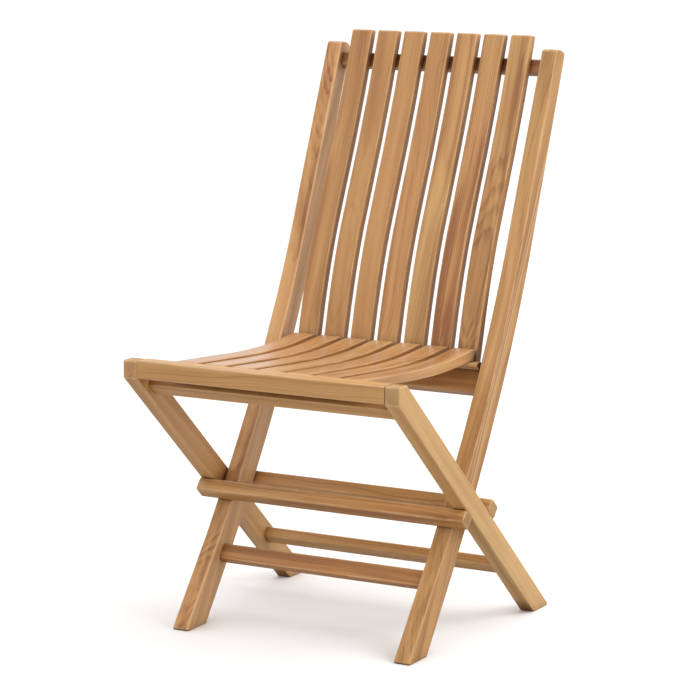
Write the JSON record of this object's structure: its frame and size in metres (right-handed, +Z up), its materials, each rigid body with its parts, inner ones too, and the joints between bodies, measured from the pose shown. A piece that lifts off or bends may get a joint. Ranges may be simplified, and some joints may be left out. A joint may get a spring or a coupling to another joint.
{
  "type": "folding chair",
  "caption": "Folding wooden garden side chair with a slatted dished seat and a slatted curved back on crossing frames.",
  "frame": {"origin": "centre of the chair's footprint box, on the floor", "axes": "+Z up, the seat's front faces -Y, +X to the right seen from behind"},
  "size_m": [0.48, 0.6137, 0.9163],
  "materials": {
    "teak_frame": "sanded teak with a thin oil, satin",
    "teak_slat": "sanded teak with a thin oil, satin",
    "teak_seat": "sanded teak with a thin oil, satin",
    "steel": "stainless",
    "nylon": "plain"
  },
  "bodies": {
    "back_frame": {"stile_left": "teak_frame", "stile_right": "teak_frame", "top_rail": "teak_frame", "lower_back_rail": "teak_frame", "front_stretcher": "teak_frame", "pivot_bolt_left": "steel", "pivot_bolt_right": "steel", "pivot_washer_left": "nylon", "pivot_washer_right": "nylon", "back_slat_1": "teak_slat", "back_slat_2": "teak_slat", "back_slat_3": "teak_slat", "back_slat_4": "teak_slat", "back_slat_5": "teak_slat", "back_slat_6": "teak_slat", "back_slat_7": "teak_slat", "top_rail_screw_1": "steel", "top_rail_screw_2": "steel", "top_rail_screw_3": "steel", "top_rail_screw_4": "steel", "top_rail_screw_5": "steel", "top_rail_screw_6": "steel", "top_rail_screw_7": "steel"},
    "leg_frame": {"leg_left": "teak_frame", "leg_right": "teak_frame", "under_seat_rail": "teak_frame", "rear_stretcher": "teak_frame", "stop_bar_front": "teak_frame", "stop_bar_rear": "teak_frame", "seat_pin_left": "steel", "seat_pin_right": "steel"},
    "seat": {"seat_front_rail": "teak_frame", "seat_rear_bearer": "teak_frame", "seat_slat_1": "teak_seat", "seat_slat_2": "teak_seat", "seat_slat_3": "teak_seat", "seat_slat_4": "teak_seat", "seat_slat_5": "teak_seat", "seat_slat_6": "teak_seat", "seat_slat_7": "teak_seat", "bearer_screw_1": "steel", "bearer_screw_2": "steel", "bearer_screw_3": "steel", "bearer_screw_4": "steel", "bearer_screw_5": "steel", "bearer_screw_6": "steel", "bearer_screw_7": "steel"}
  },
  "joints": [
    {"name": "leg_fold", "type": "hinge", "parent": "back_frame", "child": "leg_frame", "pos_m": [0, -0.04071, 0.2008], "axis": [-1, 0, 0], "range_deg": [0, 68]},
    {"name": "seat_fold", "type": "hinge", "parent": "leg_frame", "child": "seat", "pos_m": [0, -0.29185, 0.42965], "axis": [1, 0, 0], "range_deg": [0, 150]}
  ],
  "couplings": [
    {"joint": "seat_fold", "follows": "leg_fold", "ratio": 2.2}
  ]
}
